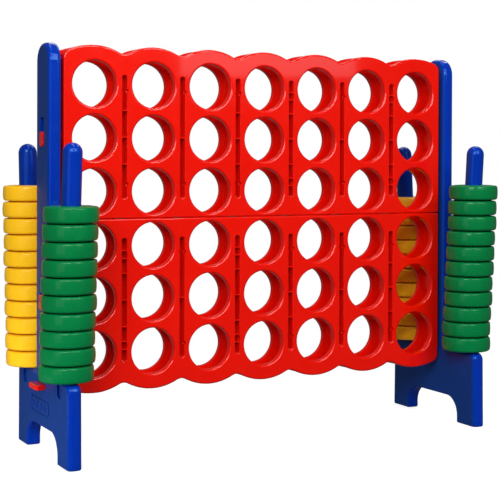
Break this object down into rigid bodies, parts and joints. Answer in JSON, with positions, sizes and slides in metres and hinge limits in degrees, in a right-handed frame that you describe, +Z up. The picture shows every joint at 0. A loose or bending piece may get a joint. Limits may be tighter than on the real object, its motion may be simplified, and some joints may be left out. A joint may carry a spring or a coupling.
{
  "type": "giant four in a row game",
  "caption": "Giant four in a row lawn game: a holed board hung between stands, leaning posts stacked with rings, and a pull-out slider under the board that drops the rings.",
  "frame": {"origin": "on the ground, in the middle of the object's footprint", "axes": "+X along the board to the right, -Y the front, +Z up"},
  "size_m": [1.2938, 0.4723, 1.015],
  "materials": {
    "red_plastic": "glossy moulded polyethylene",
    "blue_plastic": "glossy moulded polyethylene",
    "green_plastic": "satin moulded polyethylene",
    "yellow_plastic": "satin moulded polyethylene"
  },
  "bodies": {
    "board_and_stands": {"stand_left": "blue_plastic", "stand_right": "blue_plastic", "panel_front_upper": "red_plastic", "panel_front_lower": "red_plastic", "panel_back_upper": "red_plastic", "panel_back_lower": "red_plastic", "hook_left_upper": "red_plastic", "hook_left_lower": "red_plastic", "hook_right_upper": "red_plastic", "hook_right_lower": "red_plastic", "post_left_front": "blue_plastic", "post_left_back": "blue_plastic", "post_right_front": "blue_plastic", "post_right_back": "blue_plastic"},
    "slider": {"release_slider": "red_plastic"},
    "ring_left_front_01": {"ring_left_front_01": "green_plastic"},
    "ring_left_front_02": {"ring_left_front_02": "green_plastic"},
    "ring_left_front_03": {"ring_left_front_03": "green_plastic"},
    "ring_left_front_04": {"ring_left_front_04": "green_plastic"},
    "ring_left_front_05": {"ring_left_front_05": "green_plastic"},
    "ring_left_front_06": {"ring_left_front_06": "green_plastic"},
    "ring_left_front_07": {"ring_left_front_07": "green_plastic"},
    "ring_left_front_08": {"ring_left_front_08": "green_plastic"},
    "ring_left_front_09": {"ring_left_front_09": "green_plastic"},
    "ring_left_front_10": {"ring_left_front_10": "green_plastic"},
    "ring_left_back_01": {"ring_left_back_01": "yellow_plastic"},
    "ring_left_back_02": {"ring_left_back_02": "yellow_plastic"},
    "ring_left_back_03": {"ring_left_back_03": "yellow_plastic"},
    "ring_left_back_04": {"ring_left_back_04": "yellow_plastic"},
    "ring_left_back_05": {"ring_left_back_05": "yellow_plastic"},
    "ring_left_back_06": {"ring_left_back_06": "yellow_plastic"},
    "ring_left_back_07": {"ring_left_back_07": "yellow_plastic"},
    "ring_left_back_08": {"ring_left_back_08": "yellow_plastic"},
    "ring_left_back_09": {"ring_left_back_09": "yellow_plastic"},
    "ring_left_back_10": {"ring_left_back_10": "yellow_plastic"},
    "ring_left_back_11": {"ring_left_back_11": "yellow_plastic"},
    "ring_right_front_01": {"ring_right_front_01": "green_plastic"},
    "ring_right_front_02": {"ring_right_front_02": "green_plastic"},
    "ring_right_front_03": {"ring_right_front_03": "green_plastic"},
    "ring_right_front_04": {"ring_right_front_04": "green_plastic"},
    "ring_right_front_05": {"ring_right_front_05": "green_plastic"},
    "ring_right_front_06": {"ring_right_front_06": "green_plastic"},
    "ring_right_front_07": {"ring_right_front_07": "green_plastic"},
    "ring_right_front_08": {"ring_right_front_08": "green_plastic"},
    "ring_right_front_09": {"ring_right_front_09": "green_plastic"},
    "ring_right_front_10": {"ring_right_front_10": "green_plastic"},
    "ring_right_front_11": {"ring_right_front_11": "green_plastic"},
    "ring_right_back_01": {"ring_right_back_01": "yellow_plastic"},
    "ring_right_back_02": {"ring_right_back_02": "yellow_plastic"},
    "ring_right_back_03": {"ring_right_back_03": "yellow_plastic"},
    "ring_right_back_04": {"ring_right_back_04": "yellow_plastic"},
    "ring_right_back_05": {"ring_right_back_05": "yellow_plastic"},
    "ring_right_back_06": {"ring_right_back_06": "yellow_plastic"},
    "ring_right_back_07": {"ring_right_back_07": "yellow_plastic"},
    "ring_right_back_08": {"ring_right_back_08": "yellow_plastic"},
    "ring_right_back_09": {"ring_right_back_09": "yellow_plastic"},
    "ring_right_back_10": {"ring_right_back_10": "yellow_plastic"}
  },
  "joints": [
    {"name": "slider_pull", "type": "slide", "parent": "board_and_stands", "child": "slider", "axis": [-1, 0, 0], "range_m": [0, 0.079]},
    {"name": "stack_left_front_lift", "type": "slide", "parent": "board_and_stands", "child": "ring_left_front_01", "axis": [0, -0.0771, 0.997], "range_m": [0, 0.58]},
    {"name": "ring_left_front_02_part", "type": "slide", "parent": "ring_left_front_01", "child": "ring_left_front_02", "axis": [0, -0.0771, 0.997], "range_m": [0, 0.012]},
    {"name": "ring_left_front_03_part", "type": "slide", "parent": "ring_left_front_02", "child": "ring_left_front_03", "axis": [0, -0.0771, 0.997], "range_m": [0, 0.012]},
    {"name": "ring_left_front_04_part", "type": "slide", "parent": "ring_left_front_03", "child": "ring_left_front_04", "axis": [0, -0.0771, 0.997], "range_m": [0, 0.012]},
    {"name": "ring_left_front_05_part", "type": "slide", "parent": "ring_left_front_04", "child": "ring_left_front_05", "axis": [0, -0.0771, 0.997], "range_m": [0, 0.012]},
    {"name": "ring_left_front_06_part", "type": "slide", "parent": "ring_left_front_05", "child": "ring_left_front_06", "axis": [0, -0.0771, 0.997], "range_m": [0, 0.012]},
    {"name": "ring_left_front_07_part", "type": "slide", "parent": "ring_left_front_06", "child": "ring_left_front_07", "axis": [0, -0.0771, 0.997], "range_m": [0, 0.012]},
    {"name": "ring_left_front_08_part", "type": "slide", "parent": "ring_left_front_07", "child": "ring_left_front_08", "axis": [0, -0.0771, 0.997], "range_m": [0, 0.012]},
    {"name": "ring_left_front_09_part", "type": "slide", "parent": "ring_left_front_08", "child": "ring_left_front_09", "axis": [0, -0.0771, 0.997], "range_m": [0, 0.012]},
    {"name": "top_ring_left_front_lift", "type": "slide", "parent": "ring_left_front_09", "child": "ring_left_front_10", "axis": [0, -0.0771, 0.997], "range_m": [0, 0.2]},
    {"name": "stack_left_back_lift", "type": "slide", "parent": "board_and_stands", "child": "ring_left_back_01", "axis": [0, 0.0771, 0.997], "range_m": [0, 0.58]},
    {"name": "ring_left_back_02_part", "type": "slide", "parent": "ring_left_back_01", "child": "ring_left_back_02", "axis": [0, 0.0771, 0.997], "range_m": [0, 0.012]},
    {"name": "ring_left_back_03_part", "type": "slide", "parent": "ring_left_back_02", "child": "ring_left_back_03", "axis": [0, 0.0771, 0.997], "range_m": [0, 0.012]},
    {"name": "ring_left_back_04_part", "type": "slide", "parent": "ring_left_back_03", "child": "ring_left_back_04", "axis": [0, 0.0771, 0.997], "range_m": [0, 0.012]},
    {"name": "ring_left_back_05_part", "type": "slide", "parent": "ring_left_back_04", "child": "ring_left_back_05", "axis": [0, 0.0771, 0.997], "range_m": [0, 0.012]},
    {"name": "ring_left_back_06_part", "type": "slide", "parent": "ring_left_back_05", "child": "ring_left_back_06", "axis": [0, 0.0771, 0.997], "range_m": [0, 0.012]},
    {"name": "ring_left_back_07_part", "type": "slide", "parent": "ring_left_back_06", "child": "ring_left_back_07", "axis": [0, 0.0771, 0.997], "range_m": [0, 0.012]},
    {"name": "ring_left_back_08_part", "type": "slide", "parent": "ring_left_back_07", "child": "ring_left_back_08", "axis": [0, 0.0771, 0.997], "range_m": [0, 0.012]},
    {"name": "ring_left_back_09_part", "type": "slide", "parent": "ring_left_back_08", "child": "ring_left_back_09", "axis": [0, 0.0771, 0.997], "range_m": [0, 0.012]},
    {"name": "ring_left_back_10_part", "type": "slide", "parent": "ring_left_back_09", "child": "ring_left_back_10", "axis": [0, 0.0771, 0.997], "range_m": [0, 0.012]},
    {"name": "top_ring_left_back_lift", "type": "slide", "parent": "ring_left_back_10", "child": "ring_left_back_11", "axis": [0, 0.0771, 0.997], "range_m": [0, 0.2]},
    {"name": "stack_right_front_lift", "type": "slide", "parent": "board_and_stands", "child": "ring_right_front_01", "axis": [0, -0.0771, 0.997], "range_m": [0, 0.58]},
    {"name": "ring_right_front_02_part", "type": "slide", "parent": "ring_right_front_01", "child": "ring_right_front_02", "axis": [0, -0.0771, 0.997], "range_m": [0, 0.012]},
    {"name": "ring_right_front_03_part", "type": "slide", "parent": "ring_right_front_02", "child": "ring_right_front_03", "axis": [0, -0.0771, 0.997], "range_m": [0, 0.012]},
    {"name": "ring_right_front_04_part", "type": "slide", "parent": "ring_right_front_03", "child": "ring_right_front_04", "axis": [0, -0.0771, 0.997], "range_m": [0, 0.012]},
    {"name": "ring_right_front_05_part", "type": "slide", "parent": "ring_right_front_04", "child": "ring_right_front_05", "axis": [0, -0.0771, 0.997], "range_m": [0, 0.012]},
    {"name": "ring_right_front_06_part", "type": "slide", "parent": "ring_right_front_05", "child": "ring_right_front_06", "axis": [0, -0.0771, 0.997], "range_m": [0, 0.012]},
    {"name": "ring_right_front_07_part", "type": "slide", "parent": "ring_right_front_06", "child": "ring_right_front_07", "axis": [0, -0.0771, 0.997], "range_m": [0, 0.012]},
    {"name": "ring_right_front_08_part", "type": "slide", "parent": "ring_right_front_07", "child": "ring_right_front_08", "axis": [0, -0.0771, 0.997], "range_m": [0, 0.012]},
    {"name": "ring_right_front_09_part", "type": "slide", "parent": "ring_right_front_08", "child": "ring_right_front_09", "axis": [0, -0.0771, 0.997], "range_m": [0, 0.012]},
    {"name": "ring_right_front_10_part", "type": "slide", "parent": "ring_right_front_09", "child": "ring_right_front_10", "axis": [0, -0.0771, 0.997], "range_m": [0, 0.012]},
    {"name": "top_ring_right_front_lift", "type": "slide", "parent": "ring_right_front_10", "child": "ring_right_front_11", "axis": [0, -0.0771, 0.997], "range_m": [0, 0.2]},
    {"name": "stack_right_back_lift", "type": "slide", "parent": "board_and_stands", "child": "ring_right_back_01", "axis": [0, 0.0771, 0.997], "range_m": [0, 0.58]},
    {"name": "ring_right_back_02_part", "type": "slide", "parent": "ring_right_back_01", "child": "ring_right_back_02", "axis": [0, 0.0771, 0.997], "range_m": [0, 0.012]},
    {"name": "ring_right_back_03_part", "type": "slide", "parent": "ring_right_back_02", "child": "ring_right_back_03", "axis": [0, 0.0771, 0.997], "range_m": [0, 0.012]},
    {"name": "ring_right_back_04_part", "type": "slide", "parent": "ring_right_back_03", "child": "ring_right_back_04", "axis": [0, 0.0771, 0.997], "range_m": [0, 0.012]},
    {"name": "ring_right_back_05_part", "type": "slide", "parent": "ring_right_back_04", "child": "ring_right_back_05", "axis": [0, 0.0771, 0.997], "range_m": [0, 0.012]},
    {"name": "ring_right_back_06_part", "type": "slide", "parent": "ring_right_back_05", "child": "ring_right_back_06", "axis": [0, 0.0771, 0.997], "range_m": [0, 0.012]},
    {"name": "ring_right_back_07_part", "type": "slide", "parent": "ring_right_back_06", "child": "ring_right_back_07", "axis": [0, 0.0771, 0.997], "range_m": [0, 0.012]},
    {"name": "ring_right_back_08_part", "type": "slide", "parent": "ring_right_back_07", "child": "ring_right_back_08", "axis": [0, 0.0771, 0.997], "range_m": [0, 0.012]},
    {"name": "ring_right_back_09_part", "type": "slide", "parent": "ring_right_back_08", "child": "ring_right_back_09", "axis": [0, 0.0771, 0.997], "range_m": [0, 0.012]},
    {"name": "top_ring_right_back_lift", "type": "slide", "parent": "ring_right_back_09", "child": "ring_right_back_10", "axis": [0, 0.0771, 0.997], "range_m": [0, 0.2]}
  ],
  "couplings": [
    {"joint": "ring_left_front_02_part", "follows": "stack_left_front_lift", "ratio": 0.02},
    {"joint": "ring_left_front_03_part", "follows": "stack_left_front_lift", "ratio": 0.02},
    {"joint": "ring_left_front_04_part", "follows": "stack_left_front_lift", "ratio": 0.02},
    {"joint": "ring_left_front_05_part", "follows": "stack_left_front_lift", "ratio": 0.02},
    {"joint": "ring_left_front_06_part", "follows": "stack_left_front_lift", "ratio": 0.02},
    {"joint": "ring_left_front_07_part", "follows": "stack_left_front_lift", "ratio": 0.02},
    {"joint": "ring_left_front_08_part", "follows": "stack_left_front_lift", "ratio": 0.02},
    {"joint": "ring_left_front_09_part", "follows": "stack_left_front_lift", "ratio": 0.02},
    {"joint": "ring_left_back_02_part", "follows": "stack_left_back_lift", "ratio": 0.02},
    {"joint": "ring_left_back_03_part", "follows": "stack_left_back_lift", "ratio": 0.02},
    {"joint": "ring_left_back_04_part", "follows": "stack_left_back_lift", "ratio": 0.02},
    {"joint": "ring_left_back_05_part", "follows": "stack_left_back_lift", "ratio": 0.02},
    {"joint": "ring_left_back_06_part", "follows": "stack_left_back_lift", "ratio": 0.02},
    {"joint": "ring_left_back_07_part", "follows": "stack_left_back_lift", "ratio": 0.02},
    {"joint": "ring_left_back_08_part", "follows": "stack_left_back_lift", "ratio": 0.02},
    {"joint": "ring_left_back_09_part", "follows": "stack_left_back_lift", "ratio": 0.02},
    {"joint": "ring_left_back_10_part", "follows": "stack_left_back_lift", "ratio": 0.02},
    {"joint": "ring_right_front_02_part", "follows": "stack_right_front_lift", "ratio": 0.02},
    {"joint": "ring_right_front_03_part", "follows": "stack_right_front_lift", "ratio": 0.02},
    {"joint": "ring_right_front_04_part", "follows": "stack_right_front_lift", "ratio": 0.02},
    {"joint": "ring_right_front_05_part", "follows": "stack_right_front_lift", "ratio": 0.02},
    {"joint": "ring_right_front_06_part", "follows": "stack_right_front_lift", "ratio": 0.02},
    {"joint": "ring_right_front_07_part", "follows": "stack_right_front_lift", "ratio": 0.02},
    {"joint": "ring_right_front_08_part", "follows": "stack_right_front_lift", "ratio": 0.02},
    {"joint": "ring_right_front_09_part", "follows": "stack_right_front_lift", "ratio": 0.02},
    {"joint": "ring_right_front_10_part", "follows": "stack_right_front_lift", "ratio": 0.02},
    {"joint": "ring_right_back_02_part", "follows": "stack_right_back_lift", "ratio": 0.02},
    {"joint": "ring_right_back_03_part", "follows": "stack_right_back_lift", "ratio": 0.02},
    {"joint": "ring_right_back_04_part", "follows": "stack_right_back_lift", "ratio": 0.02},
    {"joint": "ring_right_back_05_part", "follows": "stack_right_back_lift", "ratio": 0.02},
    {"joint": "ring_right_back_06_part", "follows": "stack_right_back_lift", "ratio": 0.02},
    {"joint": "ring_right_back_07_part", "follows": "stack_right_back_lift", "ratio": 0.02},
    {"joint": "ring_right_back_08_part", "follows": "stack_right_back_lift", "ratio": 0.02},
    {"joint": "ring_right_back_09_part", "follows": "stack_right_back_lift", "ratio": 0.02}
  ]
}
